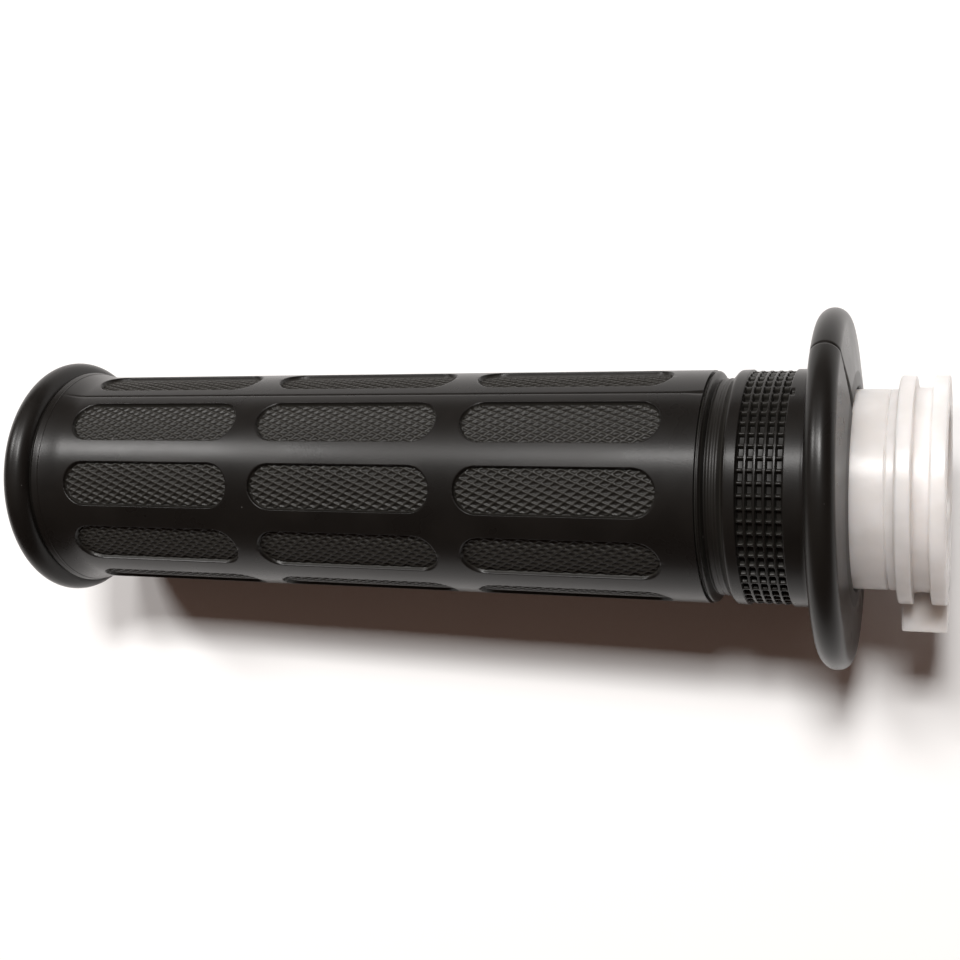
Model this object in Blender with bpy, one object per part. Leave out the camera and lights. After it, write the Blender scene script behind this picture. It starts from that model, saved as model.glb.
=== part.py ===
"""Throttle grip for a 22.2 mm handlebar: a moulded rubber grip on a nylon throttle tube.

X runs along the handlebar: the tube's inboard end is at X = 0 and the grip's bell end is
at negative X. Z is up. An angle about X is measured from -Y towards +Z, and a radius is
measured from the X axis. Sizes are in metres.
"""

import math

import bmesh
import bpy
from mathutils import Matrix, Vector

MM = 0.001
SEGMENTS = 60

# Throttle tube
BAR_DIAMETER = 22.2 * MM
BAR_CLEARANCE = 0.25 * MM
TUBE_WALL = 1.35 * MM
KEY_COUNT = 4
KEY_WIDTH = 2.5 * MM
KEY_HEIGHT = 0.6 * MM
COLLAR_HEIGHT = 1.0 * MM
COLLAR_LENGTH = 5.6 * MM
COLLAR_SEAT_DEPTH = 2.0 * MM
WITNESS_OFFSET = 1.1 * MM
WITNESS_WIDTH = 0.4 * MM
WITNESS_DEPTH = 0.15 * MM

# Cable drum on the tube's inboard end
CHEEK_WIDTH = 2.0 * MM
CHEEK_HEIGHT = 1.65 * MM
CHEEK_ROUND = 0.3 * MM
GROOVE_WIDTH = 2.3 * MM
GROOVE_FLOOR_HEIGHT = 0.15 * MM
LUG_ANGLE = -20.0
LUG_SIDE_WALL = 1.7 * MM
LUG_COVER = 0.75 * MM
LUG_BEVEL = 0.35 * MM
NIPPLE_DIAMETER = 4.5 * MM
NIPPLE_LENGTH = 4.5 * MM
NIPPLE_CLEARANCE = 0.05 * MM
NIPPLE_SEGMENTS = 24
CABLE_DIAMETER = 1.5 * MM
CABLE_CLEARANCE = 0.15 * MM

# Rubber grip
FIT_GAP = 0.3 * MM
RUBBER_WALL = 3.55 * MM
END_WALL = 2.6 * MM
FLANGE_HEIGHT = 8.35 * MM
FLANGE_BEAD_RADIUS = 2.2 * MM
FLANGE_FACE_RISE = 0.9 * MM
SHOULDER_LENGTH = 2.8 * MM
BAND_LENGTH = 6.25 * MM
RIM_LENGTH = 1.7 * MM
VALLEY_DEPTH = 1.2 * MM
VALLEY_RISE_LENGTH = 0.9 * MM
VALLEY_FLOOR_LENGTH = 0.9 * MM
RING_LENGTH = 1.35 * MM
SLIT_WIDTH = 0.3 * MM
SLIT_DEPTH = 0.9 * MM
BARREL_LENGTH = 100.1 * MM
FLARE_LENGTH = 4.8 * MM
FLARE_HEIGHT = 0.85 * MM
END_VALLEY_DEPTH = 0.3 * MM
END_VALLEY_WIDTH = 0.6 * MM
BELL_HEIGHT = 2.45 * MM
BELL_BEAD_RADIUS = 2.3 * MM
BELL_BEAD_ARC = (205, 45)
END_DISH_DEPTH = 0.8 * MM
END_DISH_SLOPE = 1.1 * MM

# Finger pads sunk into the barrel
PAD_ROWS = 10
PADS_PER_ROW = 3
PAD_GAP = 3.7 * MM
PAD_DEPTH = 0.55 * MM
PAD_RIB_WIDTH = 3.4 * MM
PAD_INBOARD_OFFSET = 5.5 * MM
PAD_OUTBOARD_OFFSET = 0.5 * MM
PAD_ROUND_STEPS = 8
PARTING_ANGLE = 137.0

# Sizes that follow from those above
BORE_RADIUS = BAR_DIAMETER / 2 + BAR_CLEARANCE
TUBE_RADIUS = BORE_RADIUS + TUBE_WALL
KEY_RADIUS = TUBE_RADIUS + KEY_HEIGHT
COLLAR_RADIUS = TUBE_RADIUS + COLLAR_HEIGHT
GROOVE_FLOOR_RADIUS = COLLAR_RADIUS + GROOVE_FLOOR_HEIGHT
CHEEK_RADIUS = GROOVE_FLOOR_RADIUS + CHEEK_HEIGHT
DRUM_WIDTH = 2 * CHEEK_WIDTH + GROOVE_WIDTH
NIPPLE_POCKET_RADIUS = NIPPLE_DIAMETER / 2 + NIPPLE_CLEARANCE
NIPPLE_SEAT_RADIUS = GROOVE_FLOOR_RADIUS + NIPPLE_POCKET_RADIUS
LUG_RADIUS = NIPPLE_SEAT_RADIUS + NIPPLE_POCKET_RADIUS + LUG_COVER
LUG_WIDTH = 2 * (NIPPLE_POCKET_RADIUS + LUG_SIDE_WALL)
BARREL_RADIUS = TUBE_RADIUS + FIT_GAP + RUBBER_WALL
FLANGE_RADIUS = BARREL_RADIUS + FLANGE_HEIGHT
BELL_RADIUS = BARREL_RADIUS + BELL_HEIGHT
FACE_X = -(DRUM_WIDTH + COLLAR_LENGTH)
FLANGE_X = FACE_X - FLANGE_FACE_RISE - FLANGE_BEAD_RADIUS
SHOULDER_X = FLANGE_X - FLANGE_BEAD_RADIUS
BAND_X = SHOULDER_X - SHOULDER_LENGTH
RIM_X = BAND_X - BAND_LENGTH
VALLEY_X = RIM_X - RIM_LENGTH - VALLEY_RISE_LENGTH
SLIT_X = VALLEY_X - VALLEY_FLOOR_LENGTH - RING_LENGTH
BARREL_END_X = SLIT_X - BARREL_LENGTH
FLARE_X = BARREL_END_X - FLARE_LENGTH
BELL_X = FLARE_X - END_VALLEY_WIDTH - BELL_BEAD_RADIUS
END_X = BELL_X - BELL_BEAD_RADIUS
DISH_X = END_X + END_DISH_DEPTH
POCKET_X = DISH_X + END_WALL
TUBE_END_X = POCKET_X + FIT_GAP
PAD_WIDTH = 2 * math.pi * BARREL_RADIUS / PAD_ROWS - PAD_RIB_WIDTH
PAD_STRETCH = BARREL_LENGTH - PAD_INBOARD_OFFSET - PAD_OUTBOARD_OFFSET
PAD_LENGTH = (PAD_STRETCH - (PADS_PER_ROW - 1) * PAD_GAP) / PADS_PER_ROW


def clear_scene():
    """Removes every object, so that only this part is left."""
    for old in list(bpy.data.objects):
        bpy.data.objects.remove(old, do_unlink=True)


def principled(name, colour, roughness):
    """A plain Principled material, not metallic."""
    made = bpy.data.materials.new(name)
    made.use_nodes = True
    shader = made.node_tree.nodes["Principled BSDF"]
    shader.inputs["Base Color"].default_value = (*colour, 1.0)
    shader.inputs["Roughness"].default_value = roughness
    shader.inputs["Metallic"].default_value = 0.0
    return made


def add_object(name, bm):
    """Makes an object of a bmesh, with its faces pointing out and round faces smooth."""
    bmesh.ops.recalc_face_normals(bm, faces=bm.faces)
    mesh = bpy.data.meshes.new(name)
    bm.to_mesh(mesh)
    bm.free()
    mesh.shade_smooth()
    mesh.set_sharp_from_angle(angle=math.radians(30))
    made = bpy.data.objects.new(name, mesh)
    bpy.context.scene.collection.objects.link(made)
    return made


def make_helper(made):
    """Marks an object as a cutter or an added block, which isn't a piece itself."""
    made.hide_render = True
    made.display_type = "WIRE"
    return made


def combine(target, other, operation):
    """Adds an exact Boolean of another object to the target."""
    step = target.modifiers.new(other.name, "BOOLEAN")
    step.operation = operation
    step.object = other
    step.solver = "EXACT"


def arc(centre_x, centre_r, radius, start, end, steps):
    """Points (x, r) on an arc. 0 degrees points along +X and 90 degrees away from the axis."""
    angles = [math.radians(start + (end - start) * i / steps) for i in range(steps + 1)]
    return [
        (centre_x + radius * math.cos(a), centre_r + radius * math.sin(a)) for a in angles
    ]


def turned(name, profile, loop):
    """Turns a profile of (x, r) points about X. A loop profile closes on itself."""
    bm = bmesh.new()
    verts = [bm.verts.new((x, 0.0, r)) for x, r in profile]
    edges = [bm.edges.new(pair) for pair in zip(verts, verts[1:])]
    if loop:
        edges.append(bm.edges.new((verts[-1], verts[0])))
    bmesh.ops.spin(
        bm,
        geom=verts + edges,
        cent=(0, 0, 0),
        axis=(1, 0, 0),
        angle=2 * math.pi,
        steps=SEGMENTS,
        use_merge=True,
    )
    bmesh.ops.remove_doubles(bm, verts=bm.verts, dist=1e-6)
    return add_object(name, bm)


def turn_to(angle):
    """The rotation that carries +Z, where shapes are drawn, to an angle about X."""
    return Matrix.Rotation(math.radians(90 - angle), 4, "X")


def add_block(bm, x_range, r_range, width, angle, bevel=0.0):
    """Adds a block with parallel sides that stands on the axis at an angle."""
    size = (x_range[1] - x_range[0], width, r_range[1] - r_range[0])
    centre = Vector((sum(x_range) / 2, 0, sum(r_range) / 2))
    place = turn_to(angle) @ Matrix.Translation(centre) @ Matrix.Diagonal((*size, 1))
    made = bmesh.ops.create_cube(bm, size=1.0, matrix=place)
    if bevel:
        edges = list({edge for vert in made["verts"] for edge in vert.link_edges})
        bmesh.ops.bevel(bm, geom=edges, offset=bevel, segments=1, affect="EDGES")


def key_angles():
    """The angles of the keys that stop the rubber from turning on the tube."""
    return [PARTING_ANGLE + 360 * i / KEY_COUNT for i in range(KEY_COUNT)]


def key_blocks(name, clearance):
    """Blocks for the tube's keys or, with a clearance, for the slots that they run in."""
    bm = bmesh.new()
    inboard_x = FACE_X - COLLAR_SEAT_DEPTH / 2
    for angle in key_angles():
        add_block(
            bm,
            (TUBE_END_X + FIT_GAP - clearance, inboard_x),
            (BORE_RADIUS + TUBE_WALL / 2, KEY_RADIUS + clearance),
            KEY_WIDTH + 2 * clearance,
            angle,
        )
    return make_helper(add_object(name, bm))


def make_throttle_tube():
    """The nylon tube: plain body with keys, collar, cable drum and lug in one moulding."""
    drum_x = -DRUM_WIDTH
    seat_x = FACE_X - COLLAR_SEAT_DEPTH
    witness_x = drum_x - WITNESS_OFFSET
    witness_radius = COLLAR_RADIUS - WITNESS_DEPTH
    edge = CHEEK_ROUND
    profile = [
        (0, BORE_RADIUS),
        (TUBE_END_X, BORE_RADIUS),
        (TUBE_END_X, TUBE_RADIUS),
        (seat_x, TUBE_RADIUS),
        (seat_x, COLLAR_RADIUS),
        (witness_x - WITNESS_WIDTH, COLLAR_RADIUS),
        (witness_x - WITNESS_WIDTH / 2, witness_radius),
        (witness_x, COLLAR_RADIUS),
        (drum_x, COLLAR_RADIUS),
    ]
    profile += arc(drum_x + edge, CHEEK_RADIUS - edge, edge, 180, 90, 3)
    profile += [
        (drum_x + CHEEK_WIDTH, CHEEK_RADIUS),
        (drum_x + CHEEK_WIDTH, GROOVE_FLOOR_RADIUS),
        (-CHEEK_WIDTH, GROOVE_FLOOR_RADIUS),
        (-CHEEK_WIDTH, CHEEK_RADIUS),
    ]
    profile += arc(-edge, CHEEK_RADIUS - edge, edge, 90, 0, 3)
    tube = turned("throttle_tube", profile, loop=True)
    combine(tube, key_blocks("tube_keys", 0.0), "UNION")

    bm = bmesh.new()
    lug_foot = (BORE_RADIUS + COLLAR_RADIUS) / 2
    add_block(bm, (drum_x, 0), (lug_foot, LUG_RADIUS), LUG_WIDTH, LUG_ANGLE, LUG_BEVEL)
    combine(tube, make_helper(add_object("lug_block", bm)), "UNION")

    past_end = CHEEK_WIDTH / 2
    bm = bmesh.new()
    centre = Vector(((past_end - NIPPLE_LENGTH) / 2, 0, NIPPLE_SEAT_RADIUS))
    bmesh.ops.create_cone(
        bm,
        cap_ends=True,
        segments=NIPPLE_SEGMENTS,
        radius1=NIPPLE_POCKET_RADIUS,
        radius2=NIPPLE_POCKET_RADIUS,
        depth=NIPPLE_LENGTH + past_end,
        matrix=turn_to(LUG_ANGLE)
        @ Matrix.Translation(centre)
        @ Matrix.Rotation(math.pi / 2, 4, "Y"),
    )
    combine(tube, make_helper(add_object("nipple_pocket", bm)), "DIFFERENCE")

    slot = CABLE_DIAMETER / 2 + CABLE_CLEARANCE
    bm = bmesh.new()
    size = (CHEEK_WIDTH + GROOVE_WIDTH + past_end, LUG_WIDTH, 2 * slot)
    centre = Vector((past_end - size[0] / 2, -LUG_WIDTH / 2, NIPPLE_SEAT_RADIUS))
    place = turn_to(LUG_ANGLE) @ Matrix.Translation(centre) @ Matrix.Diagonal((*size, 1))
    bmesh.ops.create_cube(bm, size=1.0, matrix=place)
    combine(tube, make_helper(add_object("cable_slot", bm)), "DIFFERENCE")
    return tube


def pad_cutter():
    """One rounded block for each finger pad, bent round the barrel, rows and columns."""
    corner = PAD_WIDTH / 2
    outline = arc(PAD_LENGTH / 2 - corner, 0, corner, -90, 90, PAD_ROUND_STEPS)
    outline += [(-x, -y) for x, y in outline]
    strips = round(SEGMENTS * PAD_WIDTH / (2 * math.pi * BARREL_RADIUS))
    bm = bmesh.new()
    bm.faces.new([bm.verts.new((x, y, 0)) for x, y in outline])
    for i in range(1, strips):
        line = (0, PAD_WIDTH * (i / strips - 0.5), 0)
        everything = bm.verts[:] + bm.edges[:] + bm.faces[:]
        bmesh.ops.bisect_plane(bm, geom=everything, plane_co=line, plane_no=(0, 1, 0))
    lifted = bmesh.ops.extrude_face_region(bm, geom=bm.faces[:])
    for vert in lifted["geom"]:
        if isinstance(vert, bmesh.types.BMVert):
            vert.co.z = 2 * PAD_DEPTH
    flat = [vert.co.copy() for vert in bm.verts]
    faces = [[vert.index for vert in face.verts] for face in bm.faces]
    bm.free()

    bm = bmesh.new()
    for row in range(PAD_ROWS):
        middle = math.radians(PARTING_ANGLE + 360 * (row + 0.5) / PAD_ROWS)
        for column in range(PADS_PER_ROW):
            start_x = SLIT_X - PAD_INBOARD_OFFSET - column * (PAD_LENGTH + PAD_GAP)
            verts = []
            for point in flat:
                angle = middle + point.y / BARREL_RADIUS
                radius = BARREL_RADIUS - PAD_DEPTH + point.z
                place = (
                    start_x - PAD_LENGTH / 2 + point.x,
                    -radius * math.cos(angle),
                    radius * math.sin(angle),
                )
                verts.append(bm.verts.new(place))
            for face in faces:
                bm.faces.new([verts[i] for i in face])
    return make_helper(add_object("pad_cutter", bm))


def make_grip_rubber():
    """The rubber moulding: bell end, barrel, ring, grip band and flange, over the tube."""
    barrel = BARREL_RADIUS
    bore = TUBE_RADIUS + FIT_GAP
    seat = COLLAR_RADIUS + FIT_GAP
    flare_top = barrel + FLARE_HEIGHT
    bell_circle = BELL_RADIUS - BELL_BEAD_RADIUS
    flange_circle = FLANGE_RADIUS - FLANGE_BEAD_RADIUS
    slit_x = SLIT_X - SLIT_WIDTH
    profile = [(DISH_X, 0), (DISH_X, bell_circle - BELL_BEAD_RADIUS - END_DISH_SLOPE)]
    profile += arc(BELL_X, bell_circle, BELL_BEAD_RADIUS, *BELL_BEAD_ARC, 6)
    profile += [
        (FLARE_X - END_VALLEY_WIDTH / 2, flare_top - END_VALLEY_DEPTH),
        (FLARE_X, flare_top),
    ]
    flare_steps = 4
    for i in range(1, flare_steps + 1):
        share = i / flare_steps
        height = FLARE_HEIGHT * (1 - math.sin(share * math.pi / 2))
        profile.append((FLARE_X + FLARE_LENGTH * share, barrel + height))
    profile += [
        (slit_x, barrel),
        (slit_x, barrel - SLIT_DEPTH),
        (SLIT_X, barrel - SLIT_DEPTH),
        (SLIT_X, barrel - SLIT_WIDTH),
    ]
    ring_steps = 4
    for i in range(1, ring_steps + 1):
        share = i / ring_steps
        height = VALLEY_DEPTH * (1 - math.cos(share * math.pi)) / 2
        profile.append((SLIT_X + RING_LENGTH * share, barrel - height))
    profile += [
        (VALLEY_X, barrel - VALLEY_DEPTH),
        (RIM_X - RIM_LENGTH, barrel),
        (SHOULDER_X - FLANGE_BEAD_RADIUS / 2, barrel),
        (SHOULDER_X, barrel + FLANGE_BEAD_RADIUS / 2),
    ]
    profile += arc(FLANGE_X, flange_circle, FLANGE_BEAD_RADIUS, 180, 0, 8)
    profile += [
        (FACE_X, seat),
        (FACE_X - COLLAR_SEAT_DEPTH - FIT_GAP, seat),
        (FACE_X - COLLAR_SEAT_DEPTH - FIT_GAP, bore),
        (POCKET_X, bore),
        (POCKET_X, 0),
    ]
    grip = turned("grip_rubber", profile, loop=False)
    combine(grip, pad_cutter(), "DIFFERENCE")
    combine(grip, key_blocks("key_slots", FIT_GAP), "DIFFERENCE")
    return grip


def main():
    clear_scene()
    tube = make_throttle_tube()
    grip = make_grip_rubber()
    tube.data.materials.append(principled("nylon", (0.78, 0.76, 0.72), 0.38))
    grip.data.materials.append(principled("rubber", (0.018, 0.018, 0.019), 0.5))


main()
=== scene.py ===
"""Looks of a motorcycle throttle grip: a knurled black rubber grip on a milky nylon tube.

X runs along the handlebar, from the bell end towards the middle of the bar. An angle about
X is measured in degrees from -Y towards +Z, and a radius from the X axis. Lengths are in
metres, and MM makes millimetres into metres.
"""

import math

import bpy
import numpy as np
from mathutils import Matrix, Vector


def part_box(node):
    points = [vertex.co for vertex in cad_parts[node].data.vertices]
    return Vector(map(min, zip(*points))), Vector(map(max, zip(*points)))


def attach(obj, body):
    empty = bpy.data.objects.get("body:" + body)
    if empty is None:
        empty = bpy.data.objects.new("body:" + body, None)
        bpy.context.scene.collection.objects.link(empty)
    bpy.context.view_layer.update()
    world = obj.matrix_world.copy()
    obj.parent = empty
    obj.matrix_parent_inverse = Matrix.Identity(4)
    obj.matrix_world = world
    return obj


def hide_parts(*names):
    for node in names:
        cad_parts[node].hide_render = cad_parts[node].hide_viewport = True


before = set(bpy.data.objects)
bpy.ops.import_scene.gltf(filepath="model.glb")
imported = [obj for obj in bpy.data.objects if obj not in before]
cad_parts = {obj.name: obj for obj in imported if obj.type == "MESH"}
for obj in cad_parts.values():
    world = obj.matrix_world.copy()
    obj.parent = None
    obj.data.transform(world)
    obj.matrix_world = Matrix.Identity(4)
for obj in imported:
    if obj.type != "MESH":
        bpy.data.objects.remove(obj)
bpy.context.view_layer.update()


# ------------------------------------------------------------------ throttle tube
# One milky nylon moulding that turns on the handlebar. Its plain body, with four keys,
# lies inside the rubber. A collar and a two-cheeked cable drum stick out at the inboard end.
MM = 0.001
tube_low, tube_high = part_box("throttle_tube")
grip_low, grip_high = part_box("grip_rubber")
TUBE_END_X = tube_low.x
INBOARD_X = tube_high.x
FACE_X = grip_high.x
BORE_RADIUS = 11.35 * MM
TUBE_RADIUS = 12.7 * MM
COLLAR_RADIUS = 13.7 * MM
GROOVE_RADIUS = 13.85 * MM
CHEEK_RADIUS = 15.5 * MM
CHEEK_WIDTH = 2.0 * MM
GROOVE_WIDTH = 2.3 * MM
DRUM_X = INBOARD_X - 2 * CHEEK_WIDTH - GROOVE_WIDTH
SEAT_DEPTH = 2.0 * MM
WITNESS_X = DRUM_X - 1.1 * MM
WITNESS_WIDTH = 0.4 * MM
WITNESS_DEPTH = 0.15 * MM
KEY_HEIGHT = 0.6 * MM
KEY_WIDTH = 2.5 * MM
KEY_COUNT = 4
KEY_EDGE = 0.15 * MM
PARTING_ANGLE = 137
LUG_ANGLE = -20
LUG_HALF_WIDTH = 4.0 * MM
LUG_OVERLAP = 0.6 * MM
LUG_FADE = 0.4 * MM
SAME_RADIUS = 0.01 * MM


def smooth(value):
    """0 below 0, 1 above 1, and 3 v^2 - 2 v^3 in between."""
    v = np.clip(value, 0, 1)
    return v * v * (3 - 2 * v)


def rounded(corners, steps=6, hold=0.05 * MM):
    """A closed outline of (x, radius) points. Each corner (x, radius, fillet) becomes an arc
    tangent to both its sides, between two points just past it that keep the sides flat."""
    corners = np.array(corners)
    spot = corners[:, :2]
    fillet = corners[:, 2:]
    back = np.roll(spot, 1, axis=0) - spot
    ahead = np.roll(spot, -1, axis=0) - spot
    back = back / np.linalg.norm(back, axis=1, keepdims=True)
    ahead = ahead / np.linalg.norm(ahead, axis=1, keepdims=True)
    half = np.arccos(np.sum(back * ahead, axis=1, keepdims=True)) / 2
    middle = (back + ahead) / np.linalg.norm(back + ahead, axis=1, keepdims=True)
    centre = spot + middle * fillet / np.sin(half)
    start = spot + back * fillet / np.tan(half)
    end = spot + ahead * fillet / np.tan(half)
    turn = math.pi - 2 * half
    share = np.linspace(0, 1, steps + 1)[:, None, None]
    swing = np.sin((1 - share) * turn) * (start - centre)
    swing = swing + np.sin(share * turn) * (end - centre)
    arcs = centre + swing / np.sin(turn)
    arcs = np.concatenate([(start + back * hold)[None], arcs, (end + ahead * hold)[None]])
    return arcs.transpose(1, 0, 2).reshape(-1, 2)


def turned(x, radius, angle):
    """The point at each x, turned to its angle: (x, -radius cos angle, radius sin angle)."""
    x, radius, angle = np.broadcast_arrays(x, radius, np.radians(angle))
    return np.stack((x, -radius * np.cos(angle), radius * np.sin(angle)), axis=-1)


def solid(name, points, ring, sharp=40):
    """A closed piece from a grid of points [row, column]. Columns join round. Rows join round
    too on a ring, and otherwise a fan of triangles closes the first row and the last. The
    faces point out because a negative volume turns them over."""
    rows, columns = points.shape[:2]
    index = np.arange(rows * columns).reshape(rows, columns)
    after = np.roll(index, -1, axis=1)
    below = np.roll(index, -1, axis=0)
    diagonal = np.roll(after, -1, axis=0)
    last = rows if ring else rows - 1
    quads = np.stack((index, below, diagonal, after), axis=-1)[:last].reshape(-1, 4)
    vertices = points.reshape(-1, 3)
    groups = [quads]
    if not ring:
        poles = points[[0, -1]].mean(axis=1)
        vertices = np.concatenate([vertices, poles])
        first_pole = np.full(columns, rows * columns)
        groups.append(np.stack((first_pole, index[0], after[0]), axis=-1))
        groups.append(np.stack((first_pole + 1, after[-1], index[-1]), axis=-1))
    triangles = [quads[:, [0, 1, 2]], quads[:, [0, 2, 3]], *groups[1:]]
    corners = vertices[np.concatenate(triangles)]
    volume = np.sum(corners[:, 0] * np.cross(corners[:, 1], corners[:, 2]))
    if volume < 0:
        groups = [group[:, ::-1] for group in groups]
    loops = np.concatenate([group.ravel() for group in groups])
    sizes = np.concatenate([np.full(len(group), group.shape[1]) for group in groups])
    mesh = bpy.data.meshes.new(name)
    mesh.vertices.add(len(vertices))
    mesh.vertices.foreach_set("co", vertices.astype(np.float32).ravel())
    mesh.loops.add(len(loops))
    mesh.loops.foreach_set("vertex_index", loops.astype(np.int32))
    mesh.polygons.add(len(sizes))
    mesh.polygons.foreach_set("loop_start", (np.cumsum(sizes) - sizes).astype(np.int32))
    mesh.update(calc_edges=True)
    mesh.validate()
    mesh.shade_smooth()
    mesh.set_sharp_from_angle(angle=math.radians(sharp))
    piece = bpy.data.objects.new(name, mesh)
    bpy.context.scene.collection.objects.link(piece)
    return piece


def key(angle, clearance=0.0):
    """1 on each key's width round the tube, grown by the clearance, and 0 between keys."""
    pitch = 360 / KEY_COUNT
    off = (angle - PARTING_ANGLE + pitch / 2) % pitch - pitch / 2
    off = np.radians(np.abs(off)) * TUBE_RADIUS
    return smooth((KEY_WIDTH / 2 + clearance - off) / KEY_EDGE + 0.5)


tube_outline = rounded(
    [
        (INBOARD_X, BORE_RADIUS, 0.3 * MM),
        (TUBE_END_X, BORE_RADIUS, 0.3 * MM),
        (TUBE_END_X, TUBE_RADIUS, 0.3 * MM),
        (FACE_X - SEAT_DEPTH, TUBE_RADIUS, 0.1 * MM),
        (FACE_X - SEAT_DEPTH, COLLAR_RADIUS, 0.2 * MM),
        (WITNESS_X - WITNESS_WIDTH, COLLAR_RADIUS, 0.06 * MM),
        (WITNESS_X - WITNESS_WIDTH / 2, COLLAR_RADIUS - WITNESS_DEPTH, 0.06 * MM),
        (WITNESS_X, COLLAR_RADIUS, 0.06 * MM),
        (DRUM_X, COLLAR_RADIUS, 0.25 * MM),
        (DRUM_X, CHEEK_RADIUS, 0.3 * MM),
        (DRUM_X + CHEEK_WIDTH, CHEEK_RADIUS, 0.25 * MM),
        (DRUM_X + CHEEK_WIDTH, GROOVE_RADIUS, 0.3 * MM),
        (INBOARD_X - CHEEK_WIDTH, GROOVE_RADIUS, 0.3 * MM),
        (INBOARD_X - CHEEK_WIDTH, CHEEK_RADIUS, 0.25 * MM),
        (INBOARD_X, CHEEK_RADIUS, 0.3 * MM),
    ],
    hold=0.02 * MM,
)
tube_x = tube_outline[:, :1]
tube_radius = tube_outline[:, 1:]
tube_angle = np.arange(0, 360, 0.6)[None]
keyed = (tube_x < FACE_X - SEAT_DEPTH) & (tube_radius > TUBE_RADIUS - SAME_RADIUS)
key_relief = np.where(keyed, KEY_HEIGHT * key(tube_angle), 0)
from_lug = np.radians((tube_angle - LUG_ANGLE + 180) % 360 - 180) * CHEEK_RADIUS
beside_lug = smooth((np.abs(from_lug) - LUG_HALF_WIDTH + LUG_OVERLAP) / LUG_FADE)
cheek = np.maximum(tube_radius - GROOVE_RADIUS, 0) * (tube_x > DRUM_X - 1 * MM)
tube_skin = turned(tube_x, tube_radius + key_relief - cheek * (1 - beside_lug), tube_angle)
throttle_tube = solid("throttle_tube_moulding", tube_skin, ring=True)


class Wire:
    """One output socket in a material's node tree. Arithmetic on it adds Math nodes."""

    def __init__(self, tree, socket):
        self.tree = tree
        self.socket = socket

    def node(self, kind, settings, inputs, output=0):
        """Adds a node, makes its settings, then sets or links its input sockets. Stops are
        a colour ramp's (place, colour) pairs."""
        made = self.tree.nodes.new(kind)
        for name, value in settings.items():
            if name == "stops":
                while len(made.color_ramp.elements) < len(value):
                    made.color_ramp.elements.new(0.5)
                for element, (place, colour) in zip(made.color_ramp.elements, value):
                    element.position = place
                    element.color = colour
            else:
                setattr(made, name, value)
        for name, value in inputs.items():
            if isinstance(value, Wire):
                self.tree.links.new(value.socket, made.inputs[name])
            else:
                made.inputs[name].default_value = value
        return Wire(self.tree, made.outputs[output])

    def math(self, operation, first, second=0.0):
        """A Math node's result for two values."""
        settings = {"operation": operation}
        return self.node("ShaderNodeMath", settings, {0: first, 1: second})

    def __add__(self, other):
        return self.math("ADD", self, other)

    def __radd__(self, other):
        return self.math("ADD", other, self)

    def __sub__(self, other):
        return self.math("SUBTRACT", self, other)

    def __rsub__(self, other):
        return self.math("SUBTRACT", other, self)

    def __mul__(self, other):
        return self.math("MULTIPLY", self, other)

    def __rmul__(self, other):
        return self.math("MULTIPLY", other, self)

    def between(self, low, high):
        """0 at low and below, 1 at high and above, and a smooth rise from one to the other."""
        settings = {"interpolation_type": "SMOOTHSTEP"}
        inputs = {"Value": self, "From Min": low, "From Max": high}
        return self.node("ShaderNodeMapRange", settings, inputs)

    def blend(self, first, second):
        """The first colour where this is 0, and the second where it is 1."""
        inputs = {"Factor": self, 6: first, 7: second}
        return self.node("ShaderNodeMix", {"data_type": "RGBA"}, inputs, output=2)

    def noise(self, size, detail=2.0, roughness=0.5):
        """Soft noise, about 0.5, with spots as wide as the size. This is the place it reads."""
        inputs = {"Vector": self, "Scale": 1 / size, "Detail": detail, "Roughness": roughness}
        return self.node("ShaderNodeTexNoise", {}, inputs)

    def stretched(self, scale):
        """This place, with each axis multiplied by its scale."""
        return self.node(
            "ShaderNodeMapping", {"vector_type": "POINT"}, {"Vector": self, "Scale": scale}
        )

    def length(self):
        """The distance from the origin to this place."""
        return self.node("ShaderNodeVectorMath", {"operation": "LENGTH"}, {0: self}, output=1)

    def bumped(self, height, distance, strength=1.0):
        """A normal tilted by a height that runs from 0 to 1 over the distance."""
        inputs = {"Height": height, "Distance": distance, "Strength": strength}
        return self.node("ShaderNodeBump", {}, inputs)


def finish_named(name):
    """A new material, its Principled shader and the place in Object coordinates."""
    made = bpy.data.materials.new(name)
    made.use_nodes = True
    tree = made.node_tree
    shader = tree.nodes["Principled BSDF"]
    place = Wire(tree, tree.nodes.new("ShaderNodeTexCoord").outputs["Object"])
    return made, shader, place


def feed(shader, sockets):
    """Links a wire, or sets a constant, on each named socket of the shader."""
    for name, value in sockets.items():
        if isinstance(value, Wire):
            value.tree.links.new(value.socket, shader.inputs[name])
        else:
            shader.inputs[name].default_value = value


def milky_nylon():
    """Natural nylon: warm white and clouded, with faint scuffs along the tube."""
    made, shader, place = finish_named("milky_nylon")
    cloud = place.noise(6 * MM, detail=3)
    fleck = place.noise(0.7 * MM, detail=2)
    scuff = place.stretched((60, 260, 260)).noise(1, detail=4, roughness=0.65)
    clear = (0.72, 0.70, 0.685, 1)
    clouded = (0.79, 0.77, 0.76, 1)
    colour = cloud.between(0.35, 0.65).blend(clear, clouded)
    grain = fleck * 0.6 + scuff * 0.4
    feed(
        shader,
        {
            "Base Color": colour,
            "Roughness": 0.30 + 0.12 * scuff.between(0.4, 0.7),
            "Normal": place.bumped(grain, 0.03 * MM, 0.5),
            "Subsurface Weight": 1.0,
            "Subsurface Radius": (1.0, 0.92, 0.85),
            "Subsurface Scale": 3.0 * MM,
            "IOR": 1.53,
        },
    )
    return made


nylon = milky_nylon()
throttle_tube.data.materials.append(nylon)
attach(throttle_tube, "root")
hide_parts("throttle_tube")


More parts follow.
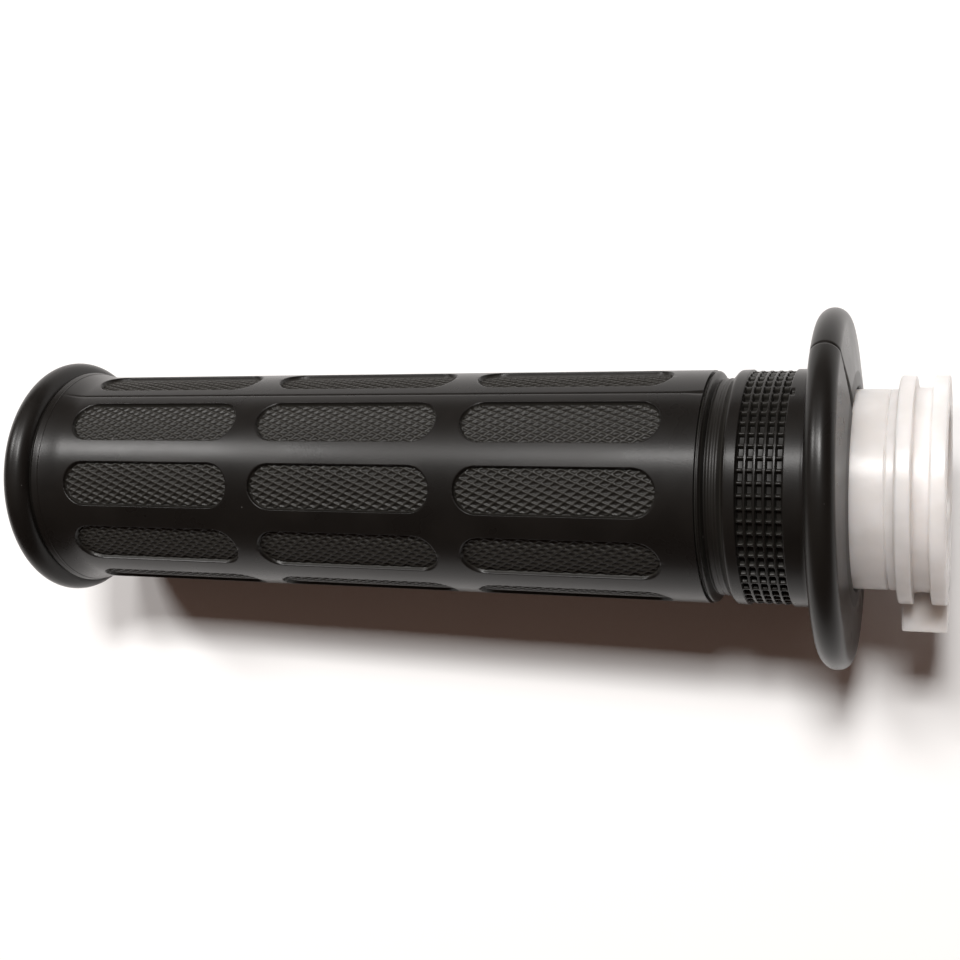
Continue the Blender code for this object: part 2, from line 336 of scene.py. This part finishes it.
# ---------------------------------------------------------------------- cable lug
# A block of the same nylon moulding across both cheeks of the drum. A round pocket in its
# inboard end takes the cable's nipple, and a slot beside it lets the cable in sideways.
LUG_TOP = 19.2 * MM
LUG_FOOT = 12.5 * MM
LUG_INSET = 0.02 * MM
LUG_SETBACK = 0.3 * MM
NIPPLE_SEAT_RADIUS = 16.15 * MM
POCKET_RADIUS = 2.3 * MM
POCKET_DEPTH = 4.5 * MM
SLOT_HALF_WIDTH = 0.9 * MM
SLOT_DEPTH = CHEEK_WIDTH + GROOVE_WIDTH
SLOT_EDGE = 0.1 * MM
LUG_ROUND = 0.35 * MM
POCKET_ROUND = 0.12 * MM
CORNER_POWER = 22
FLOOR_STEPS = 6
WALL_STEPS = 24
FACE_STEPS = 26


def lug_skin():
    """Rays from the pocket's middle run over its floor, up its wall, across the inboard face
    and down the side to the back. The side is 1 / (|c/a|^p + |s/b|^p)^(1/p) away for a ray of
    cosine c and sine s: a rectangle with rounded corners. In the slot, x is held down."""
    ray = np.radians(np.arange(0, 360, 0.75))
    cosine, sine = np.cos(ray), np.sin(ray)
    height = np.where(sine > 0, LUG_TOP - NIPPLE_SEAT_RADIUS, NIPPLE_SEAT_RADIUS - LUG_FOOT)
    side = (np.abs(cosine) / LUG_HALF_WIDTH) ** CORNER_POWER
    side = (side + (np.abs(sine) / height) ** CORNER_POWER) ** (-1 / CORNER_POWER)
    front = INBOARD_X - LUG_INSET
    back = DRUM_X + LUG_SETBACK
    quarter = np.radians(np.linspace(0, 90, 7))
    bend_out, bend_down = np.sin(quarter), 1 - np.cos(quarter)
    floor = np.linspace(0.1, 0.98, FLOOR_STEPS)
    wall = np.linspace(0, 1, WALL_STEPS)
    across = np.linspace(0, 1, FACE_STEPS)
    from_middle = np.concatenate([floor * POCKET_RADIUS, np.full(WALL_STEPS, POCKET_RADIUS)])
    floor_x = np.full(FLOOR_STEPS, front - POCKET_DEPTH)
    x = np.concatenate([floor_x, front - POCKET_DEPTH * (1 - wall)])
    mouth = smooth((x - front) / POCKET_ROUND + 1) * POCKET_ROUND
    from_middle = (from_middle + mouth)[:, None] * np.ones_like(ray)
    x = x[:, None] * np.ones_like(ray)
    lip = POCKET_RADIUS + POCKET_ROUND
    face = lip + across[1:, None] * (side - LUG_ROUND - lip)
    front_bend = side - LUG_ROUND * (1 - bend_out[1:, None])
    back_bend = front_bend[::-1]
    closing = (side - LUG_ROUND) * np.linspace(1, 0.1, 8)[:, None]
    from_middle = np.concatenate([from_middle, face, front_bend, back_bend, closing])
    flat = np.ones_like(ray)
    x = np.concatenate(
        [
            x,
            front * np.ones_like(face),
            (front - LUG_ROUND * bend_down[1:, None]) * flat,
            (back + LUG_ROUND * bend_down[:0:-1, None]) * flat,
            back * np.ones_like(closing),
        ]
    )
    sideways = from_middle * cosine
    upward = from_middle * sine
    in_slot = smooth((SLOT_HALF_WIDTH - np.abs(upward)) / SLOT_EDGE + 0.5)
    in_slot = in_slot * smooth(-sideways / SLOT_EDGE)
    x = x + in_slot * (np.minimum(x, front - SLOT_DEPTH) - x)
    turn = math.radians(LUG_ANGLE)
    out = NIPPLE_SEAT_RADIUS + upward
    y = -out * math.cos(turn) + sideways * math.sin(turn)
    z = out * math.sin(turn) + sideways * math.cos(turn)
    return np.stack((x, y, z), axis=-1)


cable_lug = solid("cable_lug", lug_skin(), ring=False)
cable_lug.data.materials.append(nylon)
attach(cable_lug, "root")
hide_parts("throttle_tube")


# ------------------------------------------------------------- knurled finger pads
# The black rubber is one moulding over the tube. Its barrel has ten rows of three sunken
# pads with round ends, and diamond knurling crosses each pad's floor. The mould's halves
# meet along a fine line, where each ring of pads here is split into a front and a back.
BORE_GAP = 0.3 * MM
BARREL_RADIUS = 16.55 * MM
RUBBER_BORE = TUBE_RADIUS + BORE_GAP
PAD_ROWS = 10
PAD_LENGTH = 28.9 * MM
PAD_WIDTH = 7.0 * MM
PAD_GAP = 3.7 * MM
PAD_STARTS_X = -36.6 * MM
PAD_DEPTH = 0.72 * MM
PAD_WALL = 0.2 * MM
KNURL_PITCH = 1.02 * MM
KNURL_ANGLES = (38.8, -22.6)
KNURL_HALF_WIDTH = 0.30 * MM
KNURL_HEIGHT = 0.24 * MM
KNURL_INSET = 0.1 * MM
KNURL_FADE = 0.25 * MM
PARTING_WIDTH = 0.26 * MM
PARTING_DEPTH = 0.07 * MM
FLOOR_HALF_ANGLE = 11.2
FLOOR_COLUMNS = 53
PAD_STEPS = 215
PAD_MARGIN = 0.1 * MM
BARREL_END_X = -131.2 * MM
RING_SEAM_X = -34.2 * MM


def parting_groove(angle, radius, width=PARTING_WIDTH, depth=PARTING_DEPTH, line=PARTING_ANGLE):
    """How deep the mould line's groove is at an angle: a smooth valley on each half turn."""
    off = np.abs((angle - line + 90) % 180 - 90)
    return depth * smooth(1 - np.radians(off) * radius / width)


def pad_relief(x, angle):
    """How far the barrel's skin lies from its plain radius. A pad's edge is where the distance
    to its middle line, less half its width, is 0. Inside, the floor is down, and along each
    family of knurl lines a ridge rises as cos^2 of the distance to its line."""
    pitch = PAD_LENGTH + PAD_GAP
    row = 360 / PAD_ROWS
    along = (PAD_STARTS_X + PAD_GAP / 2 - x) % pitch - pitch / 2
    around = np.radians((angle - PARTING_ANGLE) % row - row / 2) * BARREL_RADIUS
    past_middle = np.maximum(np.abs(along) - (PAD_LENGTH - PAD_WIDTH) / 2, 0)
    inside = PAD_WIDTH / 2 - np.hypot(past_middle, around)
    ridge = 0
    for slope in np.radians(KNURL_ANGLES):
        arc_length = np.radians(angle) * BARREL_RADIUS
        phase = (arc_length * math.cos(slope) - x * math.sin(slope)) / KNURL_PITCH
        off = np.abs(phase - np.round(phase)) * KNURL_PITCH
        crest = np.cos(np.minimum(off / KNURL_HALF_WIDTH, 1) * math.pi / 2) ** 2
        ridge = np.maximum(ridge, crest)
    floor = -PAD_DEPTH * smooth(inside / PAD_WALL)
    return floor + KNURL_HEIGHT * ridge * smooth((inside - KNURL_INSET) / KNURL_FADE)


def rubber_bore(angle):
    """The radius of the rubber's bore, with a slot round each of the tube's keys."""
    return RUBBER_BORE + KEY_HEIGHT * key(angle, BORE_GAP)


def satin_rubber():
    """Black moulded rubber: satin, with a fine grain, a faint bloom and a few dust specks. The
    sunken pads get a paler, duller tone, and the crests of their knurling are painted paler still:
    a painted highlight where the ridges catch the light, darker towards the pocket floors."""
    made, shader, place = finish_named("satin_rubber")
    grain = place.noise(0.22 * MM, detail=3, roughness=0.6)
    bloom = place.noise(9 * MM, detail=3)
    patch = place.noise(2.5 * MM, detail=2)
    radius = place.stretched((0, 1, 1)).length()
    sunk = 1 - radius.between(BARREL_RADIUS - 0.5 * MM, BARREL_RADIUS - 0.2 * MM)
    # crest runs from 0 on the pads' floors to 1 on the knurl ridges: it paints a highlight on the
    # ridges, darker towards the floors, where shade falls
    crest = radius.between(BARREL_RADIUS - 0.70 * MM, BARREL_RADIUS - 0.52 * MM)
    speck = place.node("ShaderNodeTexVoronoi", {}, {"Vector": place, "Scale": 1 / (7 * MM)})
    speck = 1 - speck.between(0.010, 0.022)
    black = (0.0038, 0.0032, 0.0026, 1)
    bloomed = (0.0062, 0.0053, 0.0044, 1)
    dust = (0.30, 0.29, 0.28, 1)
    # A paler, duller tone for the pads, most of it on the knurl crests as a painted highlight
    pad_tone_and_crest_highlight = (0.0210, 0.0197, 0.0166, 1)
    colour = bloom.between(0.35, 0.7).blend(black, bloomed)
    colour = (sunk * (0.2 + 0.6 * crest)).blend(colour, pad_tone_and_crest_highlight)
    feed(
        shader,
        {
            "Base Color": (speck * 0.5).blend(colour, dust),
            "Roughness": 0.25 + 0.05 * bloom.between(0.3, 0.7) + 0.04 * patch + 0.1 * sunk,
            "Normal": place.bumped(grain, 0.02 * MM, 0.35),
            "IOR": 1.52,
            "Specular IOR Level": 0.2,
            "Coat Weight": 0.16,
            "Coat Roughness": 0.6,
            "Coat IOR": 1.5,
        },
    )
    return made


rubber = satin_rubber()


def rubber_piece(name, points, ring, sharp=40):
    """A closed part of the rubber moulding, with its finish and its place in the assembly."""
    piece = solid(name, points, ring, sharp)
    piece.data.materials.append(rubber)
    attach(piece, "root")
    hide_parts("grip_rubber")


rib = 180 / PAD_ROWS
pad_edge = math.degrees(PAD_WIDTH / 2 / BARREL_RADIUS)
rib_steps = rib - np.array([0, 0.2, 0.4, 0.7, 1.4, 2.6, 3.8, 4.9, 5.5])
edge_steps = pad_edge - np.array([-0.15, 0, 0.15, 0.3, 0.45, 0.6])
half_row = np.concatenate([rib_steps, edge_steps])
floor_steps = np.linspace(-FLOOR_HALF_ANGLE, FLOOR_HALF_ANGLE, FLOOR_COLUMNS)
row_angles = np.concatenate([-half_row, floor_steps, half_row[:0:-1]])
row_middles = PARTING_ANGLE + rib + 2 * rib * np.arange(PAD_ROWS)
barrel_angles = (row_middles[:, None] + row_angles).ravel()
half_count = len(barrel_angles) // 2
barrel_angles = np.append(barrel_angles, PARTING_ANGLE + 360)
pad_seams = [BARREL_END_X]
pad_seams += [PAD_STARTS_X - n * (PAD_LENGTH + PAD_GAP) + PAD_GAP / 2 for n in (2, 1)]
pad_seams += [RING_SEAM_X]
for ring_name, outboard, inboard, column in (
    ("outboard", pad_seams[0], pad_seams[1], 2),
    ("middle", pad_seams[1], pad_seams[2], 1),
    ("inboard", pad_seams[2], pad_seams[3], 0),
):
    pad_end = PAD_STARTS_X - column * (PAD_LENGTH + PAD_GAP) + PAD_MARGIN
    pad_start = pad_end - PAD_LENGTH - 2 * PAD_MARGIN
    pad_x = np.concatenate(
        [
            np.linspace(outboard, pad_start, 4)[:-1],
            np.linspace(pad_start, pad_end, PAD_STEPS),
            np.linspace(pad_end, inboard, 4)[1:],
        ]
    )
    for half_name, half in (("back", slice(0, half_count + 1)), ("front", slice(half_count, None))):
        half_angle = barrel_angles[half][:, None]
        half_radius = BARREL_RADIUS + pad_relief(pad_x, half_angle)
        half_radius = half_radius - parting_groove(half_angle, BARREL_RADIUS)
        half_bore = rubber_bore(half_angle) * np.ones(2)
        loop_x = np.append(pad_x, [inboard, outboard])
        half_skin = turned(loop_x, np.concatenate([half_radius, half_bore], axis=1), half_angle)
        rubber_piece(f"knurled_barrel_{ring_name}_{half_name}", half_skin, ring=False, sharp=65)


# ----------------------------------------------------------------------- bell end
# The closed outboard end of the rubber. It flares out of the barrel to a crest, dips, and
# swells into a thick rolled bead, inside which the end face is dished. The mould line fades
# out along the flare, and a fine turned line runs round just inboard of the crest.
END_X = grip_low.x
BEAD_RADIUS = 2.3 * MM
BELL_RADIUS = 19.0 * MM
BELL_X = END_X + BEAD_RADIUS
DISH_X = END_X + 0.8 * MM
DISH_WIDTH = 2.49 * MM
POCKET_X = TUBE_END_X - BORE_GAP
FLARE_X = -136.0 * MM
FLARE_HEIGHT = 0.85 * MM
NECK_RADIUS = 17.1 * MM
CREST_SLOPE = 1.2
CREST_LIFT = 0.1 * MM
CREST_ROUND = 0.15 * MM
NECK_ROUND = 0.2 * MM
BELL_STEP = 0.08 * MM
BELL_LINE_X = -135.25 * MM
BELL_LINE_WIDTH = 0.12 * MM
BELL_LINE_DEPTH = 0.035 * MM
POLE_RADIUS = 1 * MM


def softer_max(first, second, width):
    """The larger of two curves, with their crossing rounded over the width: half of their
    sum plus the hypotenuse of their difference and the width."""
    return (first + second + np.hypot(first - second, width)) / 2


def arc(centre_x, centre_radius, radius, start, end, steps):
    """(x, radius) points on an arc. 0 degrees points along +X, 90 away from the axis."""
    turn = np.radians(np.linspace(start, end, steps + 1))
    return np.stack((centre_x + radius * np.cos(turn), centre_radius + radius * np.sin(turn)), -1)


def groove_at(x, middle, width, depth):
    """The depth of a fine turned line round the rubber: a smooth valley about its middle."""
    return depth * smooth(1 - np.abs(x - middle) / width)


bead_middle = BELL_RADIUS - BEAD_RADIUS
bead = arc(BELL_X, bead_middle, BEAD_RADIUS, 205, 68, 26)
bead_start_x = bead[0, 0]
bead_start_radius = bead[0, 1]
dish_foot = bead_start_radius - DISH_WIDTH
dish_flat = np.linspace(POLE_RADIUS, dish_foot, 12)[:-1]
dish_edge = np.linspace(dish_foot, bead_start_radius, 8)[:-1]
dish_radius = np.concatenate([dish_flat, dish_edge])
dish_share = np.maximum(dish_radius - dish_foot, 0) / (bead_start_radius - dish_foot)
dish = np.stack((DISH_X + (bead_start_x - DISH_X) * dish_share**2, dish_radius), -1)
neck_x = np.arange(bead[-1, 0] + BELL_STEP, BARREL_END_X, BELL_STEP)
over_bead = bead_middle + np.sqrt(np.maximum(BEAD_RADIUS**2 - (neck_x - BELL_X) ** 2, 0))
flare_share = (neck_x - FLARE_X) / (BARREL_END_X - FLARE_X)
flare = BARREL_RADIUS + FLARE_HEIGHT * (1 - np.sin(flare_share * math.pi / 2))
rise = BARREL_RADIUS + FLARE_HEIGHT + CREST_LIFT + CREST_SLOPE * (neck_x - FLARE_X)
crest = -softer_max(-flare, -rise, CREST_ROUND)
neck_radius = softer_max(softer_max(over_bead, NECK_RADIUS, NECK_ROUND), crest, CREST_ROUND)
neck_radius = np.where(neck_x < FLARE_X + 1 * MM, neck_radius, flare)
neck_radius = neck_radius - groove_at(neck_x, BELL_LINE_X, BELL_LINE_WIDTH, BELL_LINE_DEPTH)
neck = np.stack((neck_x, neck_radius), -1)
socket = np.array(
    [
        (BARREL_END_X, BARREL_RADIUS),
        (BARREL_END_X, RUBBER_BORE),
        (POCKET_X, RUBBER_BORE),
        (POCKET_X, POLE_RADIUS),
    ]
)
bell = np.concatenate([dish, bead, neck, socket])
bell_x = bell[:, :1]
bell_radius = bell[:, 1:]
bell_angle = np.arange(0, 360, 0.6)[None]
line_fade = smooth((bell_x - FLARE_X) / (BARREL_END_X - FLARE_X))
line_fade = line_fade * (bell_radius > RUBBER_BORE + 1 * MM)
bell_groove = line_fade * parting_groove(bell_angle, BARREL_RADIUS)
rubber_piece("bell_end", turned(bell_x, bell_radius - bell_groove, bell_angle), ring=False)


# ------------------------------------------------------- relief ring beside the band
# Past the pads a narrow slit runs round the barrel, and the mould line widens up to it. The
# rubber falls away from the slit into a valley with two faint swells round its floor, and
# climbs again to the smooth rim of the band.
SLIT_X = -31.1 * MM
SLIT_WIDTH = 0.42 * MM
SLIT_DEPTH = 0.55 * MM
SLIT_WALL = 0.08 * MM
EDGE_DROP = 0.12 * MM
EDGE_WIDTH = 0.35 * MM
RING_FALL = 0.62 * MM
VALLEY_END_X = -28.75 * MM
VALLEY_DEPTH = 1.3 * MM
RIM_X = -27.7 * MM
RIM_ROUND = 0.2 * MM
FOOT_ROUND = 0.12 * MM
SWELL_MIDDLES_X = (-30.0 * MM, -29.22 * MM)
SWELL_HEIGHT = 0.14 * MM
SWELL_HALF_WIDTH = 0.38 * MM
LINE_SPREAD = 1.6
BAND_SEAM_X = -26.6 * MM

before_slit = SLIT_X - SLIT_WIDTH - 0.2 * MM
after_slit = SLIT_X + 0.5 * MM
ring_x = np.concatenate(
    [
        np.linspace(RING_SEAM_X, before_slit, 6)[:-1],
        np.linspace(before_slit, after_slit, 36)[:-1],
        np.arange(after_slit, RIM_X + 0.4 * MM, 0.07 * MM),
        [RIM_X + 0.8 * MM, BAND_SEAM_X],
    ]
)
fall_share = np.clip((ring_x - SLIT_X) / RING_FALL, 0, 1)
fall = 1 - np.cos(fall_share * math.pi / 2)
climb = np.clip((ring_x - VALLEY_END_X) / (RIM_X - VALLEY_END_X), -1, 2) * VALLEY_DEPTH
climb = -softer_max(-climb, 0 * climb - VALLEY_DEPTH, RIM_ROUND)
ring_radius = softer_max(VALLEY_DEPTH * (1 - fall), climb, FOOT_ROUND)
ring_radius = BARREL_RADIUS - VALLEY_DEPTH + ring_radius
ring_radius = np.minimum(ring_radius, BARREL_RADIUS)
for middle in SWELL_MIDDLES_X:
    swell = SWELL_HEIGHT * smooth(1 - np.abs(ring_x - middle) / SWELL_HALF_WIDTH)
    ring_radius = np.minimum(ring_radius + swell, BARREL_RADIUS)
past_slit = ring_x > SLIT_X - SLIT_WIDTH / 2
edge_fall = EDGE_DROP * smooth(1 - (ring_x - SLIT_X) / EDGE_WIDTH) * past_slit
from_slit = np.abs(ring_x - (SLIT_X - SLIT_WIDTH / 2))
slit = SLIT_DEPTH * smooth((SLIT_WIDTH / 2 - from_slit) / SLIT_WALL + 0.5)
ring_radius = np.where(past_slit, ring_radius, BARREL_RADIUS) - edge_fall - slit
ring_loop_x = np.append(ring_x, [BAND_SEAM_X, RING_SEAM_X])[:, None]
ring_angle = PARTING_ANGLE + np.arange(0, 360, 0.5)[None]
to_slit = np.clip((ring_x[:, None] - RING_SEAM_X) / (SLIT_X - RING_SEAM_X), 0, 1)
spread = 1 + LINE_SPREAD * to_slit
line = parting_groove(ring_angle, BARREL_RADIUS, PARTING_WIDTH * spread, PARTING_DEPTH * spread)
line = line * ~past_slit[:, None]
ring_radius = ring_radius[:, None] - line
ring_bore = np.ones((2, 1)) * rubber_bore(ring_angle)
ring_skin = turned(ring_loop_x, np.concatenate([ring_radius, ring_bore]), ring_angle)
rubber_piece("relief_ring", ring_skin, ring=True, sharp=50)


# --------------------------------------------------------------------- waffle band
# A band of small sunken pockets, sixty round and five along, between thin ribs. It is
# moulded in one with the rest of the rubber, and a notch at its inboard edge marks the
# mould line.
POCKETS_ROUND = 60
POCKETS_ALONG = 5
WAFFLE_START_X = -26.2 * MM
WAFFLE_END_X = -19.9 * MM
WAFFLE_ANGLE = PARTING_ANGLE - 0.3
WAFFLE_DEPTH = 0.8 * MM
WAFFLE_SUNK = 0.18 * MM
ROW_RIB_SUNK = 0.12 * MM
NOTCH_DEPTH = 0.35 * MM
NOTCH_END_X = -19.25 * MM
NOTCH_HALF_WIDTH = 0.55 * MM
WAFFLE_RIB = 0.22 * MM
WAFFLE_WALL = 0.27 * MM
WAFFLE_EDGE = 0.15 * MM
FLANGE_SEAM_X = -19.2 * MM


def pocket_depth(x, angle):
    """How far the band lies below its plain radius: ribs round the band are lowered a little,
    ribs along it a little more, and pockets most. A notch lies at the mould line."""
    pitch = (WAFFLE_END_X - WAFFLE_START_X) / POCKETS_ALONG
    along = np.abs((x - WAFFLE_START_X) % pitch - pitch / 2)
    along = smooth((pitch / 2 - along - WAFFLE_RIB / 2) / WAFFLE_WALL)
    within = smooth((x - WAFFLE_START_X) / WAFFLE_EDGE) * smooth((WAFFLE_END_X - x) / WAFFLE_EDGE)
    along = along * (x > WAFFLE_START_X) * (x < WAFFLE_END_X)
    step = 360 / POCKETS_ROUND
    around = np.abs((angle - WAFFLE_ANGLE) % step - step / 2)
    around = np.radians(step / 2 - around) * BARREL_RADIUS
    around = smooth((around - WAFFLE_RIB / 2) / WAFFLE_WALL)
    off_line = np.radians(np.abs((angle - PARTING_ANGLE + 90) % 180 - 90)) * BARREL_RADIUS
    notch = smooth((x - WAFFLE_END_X) / WAFFLE_EDGE) * smooth((NOTCH_END_X - x) / (0.1 * MM))
    notch = NOTCH_DEPTH * notch * smooth((NOTCH_HALF_WIDTH - off_line) / (0.2 * MM))
    pocket = along * (ROW_RIB_SUNK + (WAFFLE_DEPTH - ROW_RIB_SUNK) * around)
    return WAFFLE_SUNK * within + pocket + notch


def pocket_steps(count, pitch, rib_to_middle):
    """The places of the grid's lines over a row of pockets: on each pocket the rib-to-middle
    steps, the middle, and the same steps back to the next rib."""
    one_pocket = np.concatenate([rib_to_middle, [pitch / 2], pitch - rib_to_middle[:0:-1]])
    return (pitch * np.arange(count)[:, None] + one_pocket).ravel()


along_pitch = (WAFFLE_END_X - WAFFLE_START_X) / POCKETS_ALONG
along_steps = np.array([0.0, 0.08, 0.13, 0.19, 0.25, 0.31, 0.36, 0.48]) * MM
waffle_x = np.concatenate(
    [
        np.linspace(BAND_SEAM_X, WAFFLE_START_X, 6)[:-1],
        WAFFLE_START_X + pocket_steps(POCKETS_ALONG, along_pitch, along_steps),
        np.linspace(WAFFLE_END_X, FLANGE_SEAM_X, 12),
    ]
)
round_steps = np.degrees(np.array([0.0, 0.09, 0.15, 0.22, 0.29, 0.36, 0.52]) * MM / BARREL_RADIUS)
waffle_angle = WAFFLE_ANGLE + pocket_steps(POCKETS_ROUND, 360 / POCKETS_ROUND, round_steps)[None]
waffle_radius = BARREL_RADIUS - pocket_depth(waffle_x[:, None], waffle_angle)
waffle_bore = np.ones((2, 1)) * rubber_bore(waffle_angle)
waffle_loop_x = np.append(waffle_x, [FLANGE_SEAM_X, BAND_SEAM_X])[:, None]
waffle_skin = turned(waffle_loop_x, np.concatenate([waffle_radius, waffle_bore]), waffle_angle)
rubber_piece("waffle_band", waffle_skin, ring=True, sharp=60)


# -------------------------------------------------------------------------- flange
# The broad thumb flange at the inboard end: a thin disc with a thick rolled rim, leaning a
# little. Its inboard face rises towards the collar, and the mould line cuts across it.
FLANGE_BEAD = 2.0 * MM
FLANGE_RADIUS = grip_high.z
FACE_RISE = 0.9 * MM
FLANGE_X = FACE_X - FACE_RISE - FLANGE_BEAD
SHOULDER_X = FLANGE_X - FLANGE_BEAD
SHOULDER_ROUND = 1.1 * MM
FLANGE_LINE_ANGLE = PARTING_ANGLE - 1.5
LINE_WIDENS = 4
RIM_LINE_DEPTH = 2
LINE_DEEPENS = 5.5
FLANGE_SHIFT = 0.2 * MM
FLANGE_LEAN = 0.55 * MM
COLLAR_SEAT = COLLAR_RADIUS + BORE_GAP
SEAT_X = FACE_X - SEAT_DEPTH - BORE_GAP

rim_middle = FLANGE_RADIUS - FLANGE_BEAD
foot_radius = BARREL_RADIUS + SHOULDER_ROUND
foot = arc(SHOULDER_X - SHOULDER_ROUND, foot_radius, SHOULDER_ROUND, 270, 360, 10)
rim = arc(FLANGE_X, rim_middle, FLANGE_BEAD, 180, 4, 40)
disc = np.concatenate(
    [
        [(FLANGE_SEAM_X, BARREL_RADIUS), (foot[0, 0] - 0.1 * MM, BARREL_RADIUS)],
        foot,
        [(SHOULDER_X, foot[-1, 1] + 0.1 * MM), (SHOULDER_X, rim_middle - 0.1 * MM)],
        rim,
    ]
)
face_share = np.linspace(0.02, 1, 24)[:, None]
face_end = np.array([(FACE_X, COLLAR_SEAT + 0.3 * MM)])
face = rim[-1] + (face_end - rim[-1]) * face_share
seat = np.array(
    [
        (FACE_X - 0.1 * MM, COLLAR_SEAT + 0.1 * MM),
        (FACE_X - 0.3 * MM, COLLAR_SEAT),
        (SEAT_X, COLLAR_SEAT),
        (SEAT_X, RUBBER_BORE),
        (FLANGE_SEAM_X, RUBBER_BORE),
    ]
)
flange = np.concatenate([disc, face, seat])
flange_x = flange[:, :1]
flange_radius = flange[:, 1:]
onward = np.gradient(flange, axis=0)
onward = onward / np.linalg.norm(onward, axis=1, keepdims=True)
outward_x = -onward[:, 1:]
outward_radius = onward[:, :1]
flange_angle = np.arange(0, 360, 0.5)[None]
on_face = np.zeros((len(flange), 1))
on_face[len(disc) : len(disc) + len(face), 0] = np.linspace(0, 1, len(face))
line_width = PARTING_WIDTH * (1 + LINE_WIDENS * on_face)
line_depth = PARTING_DEPTH * (RIM_LINE_DEPTH + LINE_DEEPENS * on_face)
flange_line = parting_groove(flange_angle, flange_radius, line_width, line_depth, FLANGE_LINE_ANGLE)
above_foot = smooth((flange_radius - BARREL_RADIUS) / (2 * MM))
flange_line = flange_line * np.where(flange_x > SHOULDER_X, 1, above_foot)
flange_line[-len(seat) :] = 0
past_foot = smooth((flange_radius - BARREL_RADIUS) / (FLANGE_RADIUS - BARREL_RADIUS))
lean = past_foot * (FLANGE_SHIFT + FLANGE_LEAN * np.cos(np.radians(flange_angle)))
line_x = flange_x + lean - outward_x * flange_line
line_radius = flange_radius - outward_radius * flange_line
rubber_piece("thumb_flange", turned(line_x, line_radius, flange_angle), ring=True, sharp=50)


# ----------------------------------------------------------- table, light and camera
# The grip lies on a pale table, on its flange and its bell end, so the table is tilted a
# little against the bar. Three soft lamps hang over it in a row, in warm surroundings.
FLOOR_SIZE = 3.0
FLOOR_GAP = 0.02 * MM
floor_tilt = math.atan2(FLANGE_RADIUS - BELL_RADIUS, FLANGE_X - BELL_X)
floor_mesh = bpy.data.meshes.new("table")
end = FLOOR_SIZE / 2
floor_points = np.array([(-end, -end, 0), (end, -end, 0), (end, end, 0), (-end, end, 0)])
floor_drop = math.tan(floor_tilt) * (floor_points[:, 0] - FLANGE_X)
floor_points[:, 2] = -FLANGE_RADIUS - FLOOR_GAP - floor_drop
floor_mesh.from_pydata(floor_points.tolist(), [], [(0, 1, 2, 3)])
floor = bpy.data.objects.new("table", floor_mesh)
bpy.context.scene.collection.objects.link(floor)
table_finish, table_shader, _ = finish_named("pale_table")
table_look = {"Base Color": (0.93, 0.93, 0.93, 1), "Roughness": 0.9, "Specular IOR Level": 0.1}
feed(table_shader, table_look)
floor_mesh.materials.append(table_finish)

GRIP_MIDDLE = np.array((-67.4, 0.0, 0.0)) * MM


def lamp(name, towards, length, width, power, colour):
    """A rectangular lamp, 1 m from the grip's middle in a direction, that faces the middle.
    Its length lies as nearly along X as that allows."""
    back = np.array(towards) / np.linalg.norm(towards)
    side = np.array((1.0, 0.0, 0.0)) - back[0] * back
    side = side / np.linalg.norm(side)
    data = bpy.data.lights.new(name, "AREA")
    data.shape = "RECTANGLE"
    data.size = length
    data.size_y = width
    data.energy = power
    data.color = colour
    made = bpy.data.objects.new(name, data)
    bpy.context.scene.collection.objects.link(made)
    made.location = GRIP_MIDDLE + back
    made.rotation_euler = Matrix((side, np.cross(back, side), back)).transposed().to_euler()


LAMP_WHITE = (1.0, 0.985, 0.97)
lamp("inboard_lamp", (0.13, 0.42, 1), 0.2, 0.2, 7.4, LAMP_WHITE)
lamp("middle_lamp", (-0.21, 0.48, 1), 0.24, 0.12, 2.8, LAMP_WHITE)
lamp("outboard_lamp", (-0.85, 0.55, 1), 0.26, 0.14, 4.0, LAMP_WHITE)

world = bpy.data.worlds.new("surroundings")
world.use_nodes = True
background = world.node_tree.nodes["Background"]
background.inputs["Color"].default_value = (1.0, 0.62, 0.48, 1)
background.inputs["Strength"].default_value = 0.09
bpy.context.scene.world = world
bpy.context.scene.view_settings.view_transform = "Standard"

CAMERA_PLACE = (5.037 * MM, -10.293 * MM, 196.394 * MM)
CAMERA_TURN = (3.6498, 20.1354, 2.1156)
CAMERA_LENS = 51.88
camera_data = bpy.data.cameras.new("camera")
camera_data.sensor_width = 36.0
camera_data.lens = CAMERA_LENS
camera_data.clip_start = 1 * MM
camera = bpy.data.objects.new("camera", camera_data)
camera.location = CAMERA_PLACE
camera.rotation_euler = [math.radians(turn) for turn in CAMERA_TURN]
bpy.context.scene.collection.objects.link(camera)
bpy.context.scene.camera = camera
